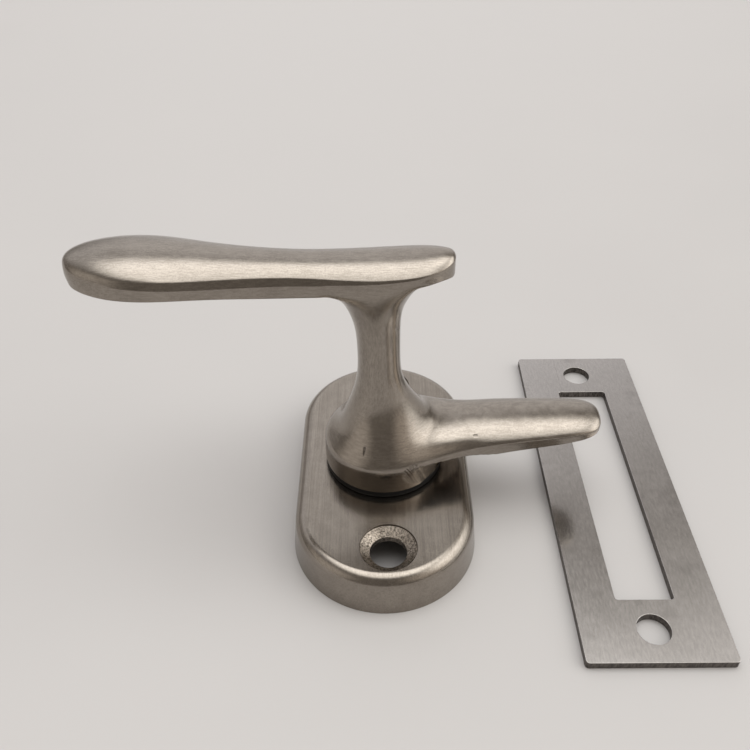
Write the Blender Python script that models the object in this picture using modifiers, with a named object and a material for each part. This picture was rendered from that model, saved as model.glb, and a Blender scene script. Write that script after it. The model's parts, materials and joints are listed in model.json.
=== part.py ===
"""Casement window fastener with its strike plate, modelled as separate pieces.

A cast lever (handle bar, stem, boss and nose in one piece) turns on a pivot through a
screw-on backplate, over a black boss washer.  Under the plate a wave washer, a retaining
washer and a screw hold it.  The slotted strike plate lies beside it, where the nose reaches.

Dimensions are in millimetres and are scaled to metres when a mesh is made.
Frame: +Z up from the seating plane, backplate's long axis along Y, nose towards +X,
origin under the middle of the whole object's box.
"""
import bpy
import bmesh
from math import cos, pi, radians, sin
from mathutils import Vector

MM = 0.001

# --- Backplate: a hollow cast stadium with two countersunk screw holes ---------------------
PLATE_WIDTH = 29.7
PLATE_LENGTH = 52.1
PLATE_HEIGHT = 7.0
PLATE_DRAFT = 0.65
PLATE_EDGE_ROUNDING = 1.8
PLATE_WALL = 2.2
PLATE_WEB = 2.2
SCREW_HOLE_Y = 19.0
SCREW_HOLE_SHIFT = 0.5
SCREW_HOLE_R = 2.9
COUNTERSINK_R = 4.45
COUNTERSINK_DEPTH = 1.25

# --- Strike plate: a flat slotted strip ------------------------------------------------------
STRIKE_WIDTH = 22.0
STRIKE_LENGTH = 69.0
STRIKE_THICKNESS = 1.4
STRIKE_CORNER_R = 0.6
SLOT_WIDTH = 9.0
SLOT_LENGTH = 48.0
SLOT_CORNER_R = 0.5
STRIKE_HOLE_R = 2.53
STRIKE_HOLE_SPACING = 58.2

# --- Places, from the frame's origin ---------------------------------------------------------
HANDLE_REACH = 44.9
STRIKE_FROM_PIVOT = 39.3
PIVOT_X = -(STRIKE_FROM_PIVOT + STRIKE_WIDTH / 2 - HANDLE_REACH) / 2
STRIKE_X = PIVOT_X + STRIKE_FROM_PIVOT
PLATE_Y = 0.8
PIVOT_FROM_PLATE = 0.75
PIVOT_Y = PLATE_Y + PIVOT_FROM_PLATE

# --- Lever: stem, boss and shank --------------------------------------------------------------
GAP = 0.25
BOSS_R = 9.85
BOSS_BOTTOM = 8.3
SHANK_R = 4.2
SHANK_SHOULDER = 4.05
SHANK_END_R = 3.0
SHANK_END = 3.1
SHANK_FLATS = 4.6
SCREW_BORE_R = 1.7
SCREW_BORE_TOP = 10.1

# Handle bar, left tip to right end: x, half widths at the crease, at the ridge below it and at
# the bottom edge, then the heights of the top, the crease, the ridge and the bottom edge.
HANDLE_STATIONS = (
    (-44.7, 1.85, 2.35, 2.35, 47.4, 46.6, 45.8, 43.95),
    (-42.75, 3.85, 4.45, 4.45, 48.2, 47.0, 46.0, 43.75),
    (-38.4, 5.7, 6.3, 6.4, 48.75, 46.9, 45.8, 43.45),
    (-32.5, 6.7, 7.2, 6.9, 48.65, 46.4, 45.35, 43.35),
    (-25.6, 5.3, 6.0, 5.7, 47.8, 45.8, 44.85, 43.05),
    (-18.7, 4.25, 4.85, 4.55, 47.1, 45.6, 44.45, 42.35),
    (-12.8, 3.85, 4.45, 4.15, 46.8, 45.4, 44.45, 42.15),
    (-8.45, 4.05, 4.55, 4.15, 46.7, 45.25, 44.35, 42.25),
    (-1.4, 4.65, 5.0, 4.85, 46.9, 45.05, 44.75, 42.15),
    (5.5, 4.55, 4.65, 4.35, 47.2, 45.6, 45.15, 43.75),
    (8.25, 3.25, 3.35, 3.15, 47.4, 46.0, 45.6, 44.25),
    (9.85, 1.85, 2.05, 1.85, 47.2, 46.5, 46.0, 43.95),
)
STEM_STATIONS = (7, 8, 9)

# Stem, top to bottom: height, left side, right side, half depth.
STEM_RINGS = (
    (40.4, -6.7, 3.95, 4.25),
    (38.05, -5.3, 2.75, 3.7),
    (34.7, -4.25, 2.5, 3.35),
    (30.65, -4.0, 2.55, 3.25),
    (25.25, -4.0, 2.6, 3.35),
    (21.3, -5.0, 4.25, 4.25),
    (18.25, -6.1, 6.4, 5.7),
)
# Boss rings: height, radius and half depth.  The nose grows out of the +X side of these three.
BOSS_RINGS = (
    (14.9, 7.45, 8.2),
    (12.9, 9.75, 9.85),
    (10.35, BOSS_R, BOSS_R),
)
# Where the nose's top starts, on the +X side of the first boss ring: x and height.
NOSE_ROOT = (9.0, 16.4)
# How far the neighbouring cage point moves to fill the corner between nose and boss.
NOSE_FILLET = (0.3, 0.2, 0.3)

# Nose, boss to tip: x, half width, top, crease, underside.
NOSE_STATIONS = (
    (13.2, 6.0, 16.55, 14.2, 11.45),
    (19.7, 5.5, 16.85, 15.0, 12.75),
    (26.6, 5.0, 17.05, 15.4, 13.5),
    (32.9, 4.45, 17.15, 15.8, 14.3),
    (35.35, 2.95, 16.65, 15.8, 14.9),
)
SHOULDER_HALF = 0.62
SHOULDER_RISE = 0.72
UNDERSIDE_CROWN = 0.3
END_SWELL = 0.5
CREASE_FADING = 0.3
CREASE_SOFT = 0.42
CREASE_EDGE = 0.55
SUBDIVISION = 2

# --- Washers, bush and screw -------------------------------------------------------------------
BOSS_WASHER_R = 9.75
BOSS_WASHER_BORE_R = 6.2
BUSH_R = 5.6
BUSH_BORE_R = 4.5
PLATE_BORE_R = BUSH_R + GAP
WAVE_WASHER_R = 6.8
WAVE_WASHER_BORE_R = 4.7
WAVE_WASHER_THICKNESS = 0.3
WAVE_HEIGHT = 0.08
WAVES = 3
RETAINING_WASHER_R = 7.0
RETAINING_WASHER_THICKNESS = 0.75
SCREW_HEAD_R = 3.1
SCREW_HEAD_THICKNESS = 0.9
SCREW_SLOT_WIDTH = 0.9
SCREW_SLOT_DEPTH = 0.45
SCREW_R = 1.4
SCREW_TIP = 9.5

ROUND_STEPS = 40
# A ring of eight cage points rounds to a circle this much smaller.
CAGE_ROUNDING = (4 + 2 * cos(pi / 4)) / 6

STEEL = (0.36, 0.335, 0.31, 1.0)
DARK_STEEL = (0.25, 0.24, 0.23, 1.0)
BLACK_NYLON = (0.012, 0.012, 0.012, 1.0)
IVORY_ACETAL = (0.62, 0.6, 0.54, 1.0)


def clear_scene():
    for thing in list(bpy.data.objects):
        bpy.data.objects.remove(thing, do_unlink=True)
    for group in list(bpy.data.collections):
        bpy.data.collections.remove(group)


def new_collection(name):
    group = bpy.data.collections.new(name)
    bpy.context.scene.collection.children.link(group)
    return group


def material(name, colour, metallic, roughness):
    made = bpy.data.materials.new(name)
    made.use_nodes = True
    shader = made.node_tree.nodes["Principled BSDF"]
    shader.inputs["Base Color"].default_value = colour
    shader.inputs["Metallic"].default_value = metallic
    shader.inputs["Roughness"].default_value = roughness
    return made


def add_object(name, mesh_maker, group, place=(0.0, 0.0), finish=None):
    """Put a bmesh, given in millimetres, into the scene as one object."""
    mesh = bpy.data.meshes.new(name)
    bmesh.ops.scale(mesh_maker, vec=(MM, MM, MM), verts=mesh_maker.verts)
    mesh_maker.to_mesh(mesh)
    mesh_maker.free()
    thing = bpy.data.objects.new(name, mesh)
    thing.location = (place[0] * MM, place[1] * MM, 0.0)
    group.objects.link(thing)
    if finish:
        mesh.materials.append(finish)
    return thing


def as_cutter(thing):
    thing.hide_render = True
    thing.display_type = "WIRE"
    return thing


def add_boolean(thing, other, operation="DIFFERENCE"):
    cut = thing.modifiers.new(operation.lower() + "_" + other.name, "BOOLEAN")
    cut.object = other
    cut.operation = operation
    cut.solver = "EXACT"
    return cut


def add_bevel(thing, width, segments, limit):
    rounding = thing.modifiers.new("rounding", "BEVEL")
    rounding.width = width * MM
    rounding.segments = segments
    rounding.limit_method = limit
    rounding.angle_limit = radians(40)
    return rounding


def smooth(thing, angle=35):
    thing.data.shade_smooth()
    thing.data.set_sharp_from_angle(angle=radians(angle))


# --- Shapes made from an outline or a profile --------------------------------------------------
def arc(centre_x, centre_y, radius, start, end, steps):
    points = []
    for i in range(steps + 1):
        angle = radians(start + (end - start) * i / steps)
        points.append((centre_x + radius * cos(angle), centre_y + radius * sin(angle)))
    return points


def stadium(width, length, steps=20):
    reach = (length - width) / 2
    return (arc(0, reach, width / 2, 0, 180, steps)
            + arc(0, -reach, width / 2, 180, 360, steps))


def rounded_rectangle(width, length, radius, steps=3):
    points = []
    for quarter, (sx, sy) in enumerate(((1, 1), (-1, 1), (-1, -1), (1, -1))):
        centre = (sx * (width / 2 - radius), sy * (length / 2 - radius))
        points += arc(*centre, radius, 90 * quarter, 90 * quarter + 90, steps)
    return points


def prism(outline, low, high):
    """A closed slab of the outline between two heights."""
    bm = bmesh.new()
    ring = [bm.verts.new((x, y, low)) for x, y in outline]
    base = bm.faces.new(ring)
    lifted = bmesh.ops.extrude_face_region(bm, geom=[base])["geom"]
    top = [part for part in lifted if isinstance(part, bmesh.types.BMVert)]
    bmesh.ops.translate(bm, vec=(0, 0, high - low), verts=top)
    bmesh.ops.recalc_face_normals(bm, faces=bm.faces)
    return bm


def weigh_top_edge(bm, outline, height):
    """Give the slab's top edge another outline, and mark it for a weighted Bevel."""
    weight = bm.edges.layers.float.new("bevel_weight_edge")
    top = [v for v in bm.verts if abs(v.co.z - height) < 1e-6]
    for vert, (x, y) in zip(top, outline):
        vert.co.x = x
        vert.co.y = y
    for edge in bm.edges:
        if edge.verts[0] in top and edge.verts[1] in top:
            edge[weight] = 1.0


def turned_profile(points, closed):
    """The wire that a Screw modifier turns: outer side first, top to bottom."""
    bm = bmesh.new()
    chain = [bm.verts.new((r, 0.0, z)) for r, z in points]
    for first, second in zip(chain, chain[1:]):
        bm.edges.new((first, second))
    if closed:
        bm.edges.new((chain[-1], chain[0]))
    return bm


def turned(name, points, group, place, closed=True, finish=None, steps=ROUND_STEPS):
    thing = add_object(name, turned_profile(points, closed), group, place, finish)
    screw = thing.modifiers.new("turn", "SCREW")
    screw.axis = "Z"
    screw.angle = 2 * pi
    screw.steps = steps
    screw.render_steps = steps
    screw.use_merge_vertices = True
    screw.merge_threshold = 0.00001
    screw.use_smooth_shade = True
    return thing


def ring_profile(outer, bore, low, high):
    return ((outer, high), (outer, low), (bore, low), (bore, high))


# --- Backplate ---------------------------------------------------------------------------------
def make_backplate(parts, cutters, finish):
    place = (PIVOT_X, PLATE_Y)
    body = prism(stadium(PLATE_WIDTH, PLATE_LENGTH), 0.0, PLATE_HEIGHT)
    drafted = stadium(PLATE_WIDTH - 2 * PLATE_DRAFT, PLATE_LENGTH - 2 * PLATE_DRAFT)
    weigh_top_edge(body, drafted, PLATE_HEIGHT)
    plate = add_object("backplate", body, parts, place, finish)
    add_bevel(plate, PLATE_EDGE_ROUNDING, 5, limit="WEIGHT")

    inner = stadium(PLATE_WIDTH - 2 * PLATE_WALL, PLATE_LENGTH - 2 * PLATE_WALL)
    web_bottom = PLATE_HEIGHT - PLATE_WEB
    pocket = as_cutter(add_object("pocket_cut", prism(inner, -1.0, web_bottom), cutters, place))
    add_boolean(plate, pocket)

    cone_slope = (COUNTERSINK_R - SCREW_HOLE_R) / COUNTERSINK_DEPTH
    shoulder = PLATE_HEIGHT - COUNTERSINK_DEPTH
    for side, label in ((-1, "front"), (1, "rear")):
        spot = (place[0] + SCREW_HOLE_SHIFT, place[1] + side * SCREW_HOLE_Y)
        profile = ((0, PLATE_HEIGHT + 1), (COUNTERSINK_R + cone_slope, PLATE_HEIGHT + 1),
                   (SCREW_HOLE_R, shoulder), (SCREW_HOLE_R, -1.0), (0, -1.0))
        hole = turned("screw_hole_" + label, profile, cutters, spot, False)
        add_boolean(plate, as_cutter(hole))

    bore_profile = ((0, PLATE_HEIGHT + 1), (PLATE_BORE_R, PLATE_HEIGHT + 1),
                    (PLATE_BORE_R, web_bottom - 1), (0, web_bottom - 1))
    bore = turned("pivot_bore", bore_profile, cutters, (PIVOT_X, PIVOT_Y), False)
    add_boolean(plate, as_cutter(bore))
    smooth(plate)
    return plate


# --- Lever ---------------------------------------------------------------------------------------
def skin_rows(bm, upper, lower, skip=()):
    """Quads between two rows of cage points; skipped ones leave a hole to grow from."""
    for k in range(len(upper) - 1):
        if k not in skip:
            bm.faces.new((upper[k], upper[k + 1], lower[k + 1], lower[k]))


def crease_row(bm, row, layer, amount):
    for first, second in zip(row, row[1:]):
        edge = bm.edges.get((first, second))
        if edge:
            edge[layer] = amount


def half_ring(bm, height, left, right, depth, count=5):
    """Cage points of half a round ring, from +X over +Y to -X, that rounds to the size given."""
    middle = (left + right) / 2
    reach = (right - left) / 2 / CAGE_ROUNDING
    depth = depth / CAGE_ROUNDING
    ring = []
    for k in range(count):
        angle = pi * k / (count - 1)
        ring.append(bm.verts.new((middle + reach * cos(angle), depth * sin(angle), height)))
    ring[0].co.y = ring[-1].co.y = 0.0
    return ring


def handle_section(bm, x, half, ridge_half, under_half, top, crease, ridge, under):
    shoulder = crease + SHOULDER_RISE * (top - crease)
    outline = ((0, top), (SHOULDER_HALF * half, shoulder), (half, crease), (ridge_half, ridge),
               (under_half, under), (0, under - UNDERSIDE_CROWN))
    return [bm.verts.new((x, y, z)) for y, z in outline]


def nose_section(bm, x, half, top, crease, under):
    shoulder = crease + SHOULDER_RISE * (top - crease)
    outline = ((0, top), (SHOULDER_HALF * half, shoulder), (half, crease), (half, under),
               (0, under))
    return [bm.verts.new((x, y, z)) for y, z in outline]


def add_handle(bm, layer):
    """The handle bar, with a hole in its underside; returns the hole's edge points."""
    rows = [handle_section(bm, *station) for station in HANDLE_STATIONS]
    first, middle, last = STEM_STATIONS
    for i in range(len(rows) - 1):
        skin_rows(bm, rows[i], rows[i + 1], skip=(4,) if first <= i < last else ())
    for end, swell in ((rows[0], -END_SWELL), (rows[-1], END_SWELL)):
        mids = [bm.verts.new((end[2].co.x + swell, 0, end[k].co.z)) for k in (2, 3)]
        end[5].co.x += swell
        bm.faces.new((end[0], end[1], end[2], mids[0]))
        bm.faces.new((mids[0], end[2], end[3], mids[1]))
        bm.faces.new((mids[1], end[3], end[4], end[5]))
    crease_row(bm, [row[2] for row in rows[1:4]], layer, CREASE_FADING)
    crease_row(bm, [row[2] for row in rows[3:]] + [mids[0]], layer, CREASE_EDGE)
    crease_row(bm, [row[3] for row in rows[2:last]], layer, CREASE_EDGE)
    crease_row(bm, [row[3] for row in rows[first:]], layer, CREASE_FADING)
    crease_row(bm, [row[4] for row in rows[:first + 1]], layer, CREASE_EDGE)
    crease_row(bm, [rows[first][4], rows[middle][4]], layer, CREASE_FADING)
    crease_row(bm, [row[4] for row in rows[last:]] + [rows[-1][5]], layer, CREASE_EDGE)
    bm.verts.remove(rows[middle][5])
    return [rows[last][5], rows[last][4], rows[middle][4], rows[first][4], rows[first][5]]


def add_stem_and_boss(bm, top_ring, layer):
    """Rings from the handle's underside down to the shank; returns the nose's root points."""
    rings = [top_ring] + [half_ring(bm, *ring) for ring in STEM_RINGS]
    boss = [half_ring(bm, z, -r, r, depth) for z, r, depth in BOSS_RINGS]
    for upper, lower in zip(rings, rings[1:] + boss[:1]):
        skin_rows(bm, upper, lower)
    skin_rows(bm, boss[0], boss[1], skip=(0,))
    skin_rows(bm, boss[1], boss[2], skip=(0,))
    bm.verts.remove(boss[1][0])
    boss[0][0].co = (NOSE_ROOT[0], 0.0, NOSE_ROOT[1])
    boss[0][1].co += Vector(NOSE_FILLET)
    crease_row(bm, boss[1][2:], layer, CREASE_FADING)

    foot = ((BOSS_BOTTOM, BOSS_R), (BOSS_BOTTOM, SHANK_R), (SHANK_SHOULDER, SHANK_R),
            (SHANK_SHOULDER, SHANK_END_R), (SHANK_END, SHANK_END_R))
    above = boss[2]
    for z, r in foot:
        below = half_ring(bm, z, -r, r, r)
        skin_rows(bm, above, below)
        crease_row(bm, below, layer, 1.0)
        above = below
    centre = bm.verts.new((0, 0, SHANK_END))
    bm.faces.new((above[0], above[1], above[2], centre))
    bm.faces.new((centre, above[2], above[3], above[4]))
    return [boss[0][0], boss[0][1], boss[1][1], boss[2][1], boss[2][0]]


def add_nose(bm, root, layer):
    rows = [root] + [nose_section(bm, *station) for station in NOSE_STATIONS]
    for upper, lower in zip(rows, rows[1:]):
        skin_rows(bm, upper, lower)
    tip = rows[-1]
    middle = bm.verts.new((tip[2].co.x + 0.3, 0, tip[2].co.z))
    bm.faces.new((tip[0], tip[1], tip[2], middle))
    bm.faces.new((middle, tip[2], tip[3], tip[4]))
    crease_row(bm, [row[2] for row in rows[1:]] + [middle], layer, CREASE_SOFT)
    crease_row(bm, [row[3] for row in rows[1:]] + [tip[4]], layer, CREASE_EDGE)


def lever_cage():
    """Half of the lever's coarse cage, open at the XZ plane that the Mirror closes."""
    bm = bmesh.new()
    layer = bm.edges.layers.float.new("crease_edge")
    underside = add_handle(bm, layer)
    nose_root = add_stem_and_boss(bm, underside, layer)
    add_nose(bm, nose_root, layer)
    bmesh.ops.recalc_face_normals(bm, faces=bm.faces)
    highest = max(bm.faces, key=lambda face: face.calc_center_median().z)
    if highest.normal.z < 0:
        bmesh.ops.reverse_faces(bm, faces=bm.faces)
    return bm


def make_lever(parts, cutters, finish):
    pivot = (PIVOT_X, PIVOT_Y)
    lever = add_object("lever", lever_cage(), parts, pivot, finish)
    mirror = lever.modifiers.new("other_half", "MIRROR")
    mirror.use_axis = (False, True, False)
    mirror.merge_threshold = 0.00005
    soften = lever.modifiers.new("soft_casting", "SUBSURF")
    soften.levels = SUBDIVISION
    soften.render_levels = SUBDIVISION

    bore_profile = ((0, SCREW_BORE_TOP), (SCREW_BORE_R, SCREW_BORE_TOP),
                    (SCREW_BORE_R, SHANK_END - 1), (0, SHANK_END - 1))
    bore = turned("screw_bore", bore_profile, cutters, pivot, False, steps=20)
    add_boolean(lever, as_cutter(bore))
    for side in (-1, 1):
        half = SHANK_END_R
        flat_top = SHANK_SHOULDER - GAP / 2
        block = prism(rounded_rectangle(4 * half, half, 0.1), SHANK_END - 1, flat_top)
        spot = (PIVOT_X, PIVOT_Y + side * (SHANK_FLATS + half) / 2)
        flat = add_object("shank_flat_" + ("front" if side < 0 else "rear"), block, cutters, spot)
        add_boolean(lever, as_cutter(flat))
    smooth(lever)
    return lever


# --- Washers, bush and screw ---------------------------------------------------------------------
def make_boss_washer(parts, finish):
    low = PLATE_HEIGHT + GAP
    high = BOSS_BOTTOM - GAP
    profile = ring_profile(BOSS_WASHER_R, BOSS_WASHER_BORE_R, low, high)
    return turned("boss_washer", profile, parts, (PIVOT_X, PIVOT_Y), finish=finish)


def make_pivot_bush(parts, finish):
    low = PLATE_HEIGHT - PLATE_WEB
    profile = ring_profile(BUSH_R, BUSH_BORE_R, low, PLATE_HEIGHT)
    return turned("pivot_bush", profile, parts, (PIVOT_X, PIVOT_Y), finish=finish)


def make_wave_washer(parts, finish):
    """A thin ring whose height waves round its circle."""
    middle = (SHANK_SHOULDER + PLATE_HEIGHT - PLATE_WEB) / 2
    half = WAVE_WASHER_THICKNESS / 2
    bm = turned_profile(ring_profile(WAVE_WASHER_R, WAVE_WASHER_BORE_R, middle - half,
                                     middle + half), True)
    bmesh.ops.spin(bm, geom=bm.verts[:] + bm.edges[:], cent=(0, 0, 0), axis=(0, 0, 1),
                   angle=2 * pi, steps=ROUND_STEPS, use_merge=True)
    bmesh.ops.remove_doubles(bm, verts=bm.verts, dist=0.001)
    bmesh.ops.recalc_face_normals(bm, faces=bm.faces)
    for vert in bm.verts:
        turn = vert.co.xy.angle_signed((1.0, 0.0)) if vert.co.xy.length else 0.0
        vert.co.z += WAVE_HEIGHT * sin(WAVES * turn)
    washer = add_object("wave_washer", bm, parts, (PIVOT_X, PIVOT_Y), finish)
    smooth(washer)
    return washer


def make_retaining_washer(parts, cutters, finish):
    """A flat disc with a two-flat hole that keys it to the shank's end."""
    high = SHANK_SHOULDER - GAP
    low = high - RETAINING_WASHER_THICKNESS
    disc = ((0, high), (RETAINING_WASHER_R, high), (RETAINING_WASHER_R, low), (0, low))
    washer = turned("retaining_washer", disc, parts, (PIVOT_X, PIVOT_Y), False, finish)
    hole_r = SHANK_END_R + GAP
    half_flat = SHANK_FLATS / 2 + GAP
    outline = [(x, max(-half_flat, min(half_flat, y)))
               for x, y in arc(0, 0, hole_r, 0, 360 - 360 / 32, 31)]
    hole = add_object("keyed_hole", prism(outline, low - 1, high + 1), cutters,
                      (PIVOT_X, PIVOT_Y))
    add_boolean(washer, as_cutter(hole))
    return washer


def make_retaining_screw(parts, cutters, finish):
    washer_low = SHANK_SHOULDER - GAP - RETAINING_WASHER_THICKNESS
    head_high = min(SHANK_END, washer_low) - GAP
    head_low = head_high - SCREW_HEAD_THICKNESS
    edge = 0.3
    profile = ((0, SCREW_TIP), (SCREW_R - edge, SCREW_TIP), (SCREW_R, SCREW_TIP - edge),
               (SCREW_R, head_high), (SCREW_HEAD_R, head_high),
               (SCREW_HEAD_R, head_low + edge), (SCREW_HEAD_R - edge, head_low), (0, head_low))
    screw = turned("retaining_screw", profile, parts, (PIVOT_X, PIVOT_Y), False, finish, 24)
    slot_outline = rounded_rectangle(2 * SCREW_HEAD_R + 1, SCREW_SLOT_WIDTH, 0.05, 1)
    slot = add_object("driver_slot", prism(slot_outline, head_low - 1, head_low + SCREW_SLOT_DEPTH),
                      cutters, (PIVOT_X, PIVOT_Y))
    add_boolean(screw, as_cutter(slot))
    return screw


# --- Strike plate --------------------------------------------------------------------------------
def make_strike_plate(parts, cutters, finish):
    place = (STRIKE_X, 0.0)
    outline = rounded_rectangle(STRIKE_WIDTH, STRIKE_LENGTH, STRIKE_CORNER_R)
    strike = add_object("strike_plate", prism(outline, 0.0, STRIKE_THICKNESS), parts, place,
                        finish)
    slot_outline = rounded_rectangle(SLOT_WIDTH, SLOT_LENGTH, SLOT_CORNER_R)
    slot = prism(slot_outline, -1.0, STRIKE_THICKNESS + 1)
    add_boolean(strike, as_cutter(add_object("strike_slot", slot, cutters, place)))
    for side, label in ((-1, "front"), (1, "rear")):
        spot = (STRIKE_X, side * STRIKE_HOLE_SPACING / 2)
        profile = ((0, STRIKE_THICKNESS + 1), (STRIKE_HOLE_R, STRIKE_THICKNESS + 1),
                   (STRIKE_HOLE_R, -1.0), (0, -1.0))
        hole = turned("strike_hole_" + label, profile, cutters, spot, False, steps=32)
        add_boolean(strike, as_cutter(hole))
    smooth(strike)
    return strike


def build():
    clear_scene()
    parts = new_collection("window_fastener")
    cutters = new_collection("cutters")
    satin = material("satin_nickel", STEEL, 1.0, 0.32)
    plain = material("plain_steel", DARK_STEEL, 1.0, 0.45)
    nylon = material("black_nylon", BLACK_NYLON, 0.0, 0.5)
    acetal = material("ivory_acetal", IVORY_ACETAL, 0.0, 0.45)
    make_backplate(parts, cutters, satin)
    make_pivot_bush(parts, acetal)
    make_boss_washer(parts, nylon)
    make_lever(parts, cutters, satin)
    make_wave_washer(parts, plain)
    make_retaining_washer(parts, cutters, plain)
    make_retaining_screw(parts, cutters, plain)
    make_strike_plate(parts, cutters, satin)


build()
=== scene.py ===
"""The looks of the casement window fastener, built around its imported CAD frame.

Every visible piece is modelled again here at a fine resolution, in the place that the frame
gives, and gets a node-based material.  Lengths are in millimetres and are scaled to metres
when a mesh is made.  +Z is up, the camera looks along +Y and down, +X is to the right.
"""

import json
from math import cos, pi, radians, sin

import bmesh
import bpy
from mathutils import Matrix, Vector


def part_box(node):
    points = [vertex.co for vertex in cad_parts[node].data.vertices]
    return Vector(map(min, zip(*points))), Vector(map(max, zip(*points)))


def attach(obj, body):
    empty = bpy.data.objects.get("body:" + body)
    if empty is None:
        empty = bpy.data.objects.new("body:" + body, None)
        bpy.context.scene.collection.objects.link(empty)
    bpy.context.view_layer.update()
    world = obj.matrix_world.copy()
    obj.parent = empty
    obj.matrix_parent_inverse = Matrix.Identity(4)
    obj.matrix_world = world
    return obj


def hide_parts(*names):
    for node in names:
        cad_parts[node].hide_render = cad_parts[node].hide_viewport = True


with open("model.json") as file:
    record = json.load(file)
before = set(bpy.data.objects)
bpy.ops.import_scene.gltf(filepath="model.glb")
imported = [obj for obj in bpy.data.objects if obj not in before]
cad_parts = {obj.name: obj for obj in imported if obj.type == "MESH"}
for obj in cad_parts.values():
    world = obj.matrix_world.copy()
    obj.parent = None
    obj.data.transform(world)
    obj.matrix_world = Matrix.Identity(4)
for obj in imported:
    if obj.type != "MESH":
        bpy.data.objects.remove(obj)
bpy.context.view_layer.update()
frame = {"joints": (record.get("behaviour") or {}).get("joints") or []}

MM = 0.001

# --- Places and outer sizes, from the frame ------------------------------------------------------
lever_joint = next(j for j in frame["joints"] if j["name"] == "lever_turn")
PIVOT_X, PIVOT_Y, BOSS_BOTTOM = (value / MM for value in lever_joint["pos_m"])


def box_mm(node):
    low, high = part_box(node)
    return Vector(low) / MM, Vector(high) / MM


plate_low, plate_high = box_mm("backplate")
PLATE_WIDTH, PLATE_LENGTH, PLATE_HEIGHT = plate_high - plate_low
PLATE_Y = (plate_low.y + plate_high.y) / 2
strike_low, strike_high = box_mm("strike_plate")
STRIKE_WIDTH, STRIKE_LENGTH, STRIKE_THICKNESS = strike_high - strike_low
STRIKE_X = (strike_low.x + strike_high.x) / 2

# --- Backplate details ---------------------------------------------------------------------------
PLATE_DRAFT = 0.65
PLATE_EDGE_ROUNDING = 1.8
PLATE_WALL = 2.2
PLATE_WEB = 2.2
SCREW_HOLE_Y = 19.0
SCREW_HOLE_SHIFT = 0.5
SCREW_HOLE_R = 2.9
COUNTERSINK_R = 4.4
COUNTERSINK_STEP = 0.3
COUNTERSINK_EDGE = 0.08
COUNTERSINK_DEPTH = 0.95
PLATE_ROUNDING_SEGMENTS = 14

# --- Strike plate details ------------------------------------------------------------------------
STRIKE_CORNER_R = 0.6
STRIKE_EDGE_ROUNDING = 0.14
SLOT_WIDTH = 9.0
SLOT_LENGTH = 48.0
SLOT_CORNER_R = 0.5
STRIKE_HOLE_R = 2.53
STRIKE_HOLE_SPACING = 58.2

# --- Lever: stem, boss and shank -----------------------------------------------------------------
BOSS_R = 9.85
SHANK_R = 4.2
SHANK_SHOULDER = 4.05
SHANK_END_R = 3.0
SHANK_END = 3.1
SHANK_FLATS = 4.6
SCREW_BORE_R = 1.7
SCREW_BORE_TOP = 10.1
FIT_GAP = 0.12

# Handle bar, left tip to right end: x, half widths at the crease, at the ridge below it and at
# the bottom edge, then the heights of the top, the crease, the ridge and the bottom edge.
HANDLE_STATIONS = (
    (-44.7, 1.85, 2.35, 2.35, 47.4, 46.6, 45.8, 43.95),
    (-42.75, 3.85, 4.45, 4.45, 48.2, 47.0, 46.0, 43.75),
    (-38.4, 5.7, 6.3, 6.4, 48.75, 46.9, 45.8, 43.45),
    (-32.5, 6.7, 7.2, 6.9, 48.65, 46.4, 45.35, 43.35),
    (-25.6, 5.3, 6.0, 5.7, 47.8, 45.8, 44.85, 43.05),
    (-18.7, 4.25, 4.85, 4.55, 47.1, 45.6, 44.45, 42.35),
    (-12.8, 3.85, 4.45, 4.15, 46.8, 45.4, 44.45, 42.15),
    (-8.45, 4.05, 4.55, 4.15, 46.7, 45.25, 44.35, 42.25),
    (-1.4, 4.65, 5.0, 4.85, 46.9, 45.05, 44.75, 42.15),
    (5.5, 4.55, 4.65, 4.35, 47.2, 45.6, 45.15, 43.75),
    (8.25, 3.25, 3.35, 3.15, 47.4, 46.0, 45.6, 44.25),
    (9.85, 1.85, 2.05, 1.85, 47.2, 46.5, 46.0, 43.95),
)
STEM_STATIONS = (7, 8, 9)

# Stem, top to bottom: height, left side, right side, half depth.
STEM_RINGS = (
    (40.4, -6.7, 3.95, 4.25),
    (38.05, -5.3, 2.75, 3.7),
    (34.7, -4.25, 2.5, 3.35),
    (30.65, -4.0, 2.55, 3.25),
    (25.25, -4.0, 2.6, 3.35),
    (21.3, -5.0, 4.25, 4.25),
    (18.25, -6.1, 6.4, 5.7),
)
# Boss rings: height, radius and half depth.  The nose grows out of the +X side of these three.
BOSS_RINGS = (
    (14.9, 7.45, 8.2),
    (12.9, 9.75, 9.85),
    (10.35, BOSS_R, BOSS_R),
)
# Where the nose's top starts, on the +X side of the first boss ring: x and height.
NOSE_ROOT = (9.0, 16.4)
# How far the neighbouring cage point moves to fill the corner between nose and boss.
NOSE_FILLET = (0.3, 0.2, 0.3)

# Nose, boss to tip: x, half width, top, crease, underside.
NOSE_STATIONS = (
    (13.2, 6.0, 16.55, 14.2, 11.45),
    (19.7, 5.5, 16.85, 15.0, 12.75),
    (26.6, 5.0, 17.05, 15.4, 13.5),
    (32.9, 4.45, 17.15, 15.8, 14.3),
    (35.35, 2.95, 16.65, 15.8, 14.9),
)
SHOULDER_HALF = 0.62
SHOULDER_RISE = 0.72
UNDERSIDE_CROWN = 0.3
END_SWELL = 0.5
NOSE_SWELL = 0.3
CREASE_FADING = 0.3
CREASE_SOFT = 0.42
CREASE_EDGE = 0.55
LEVER_SUBDIVISION = 4
HALF_RING_POINTS = 5
# A ring of eight cage points rounds to a circle this much smaller.
CAGE_ROUNDING = (4 + 2 * cos(pi / 4)) / 6

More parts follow.
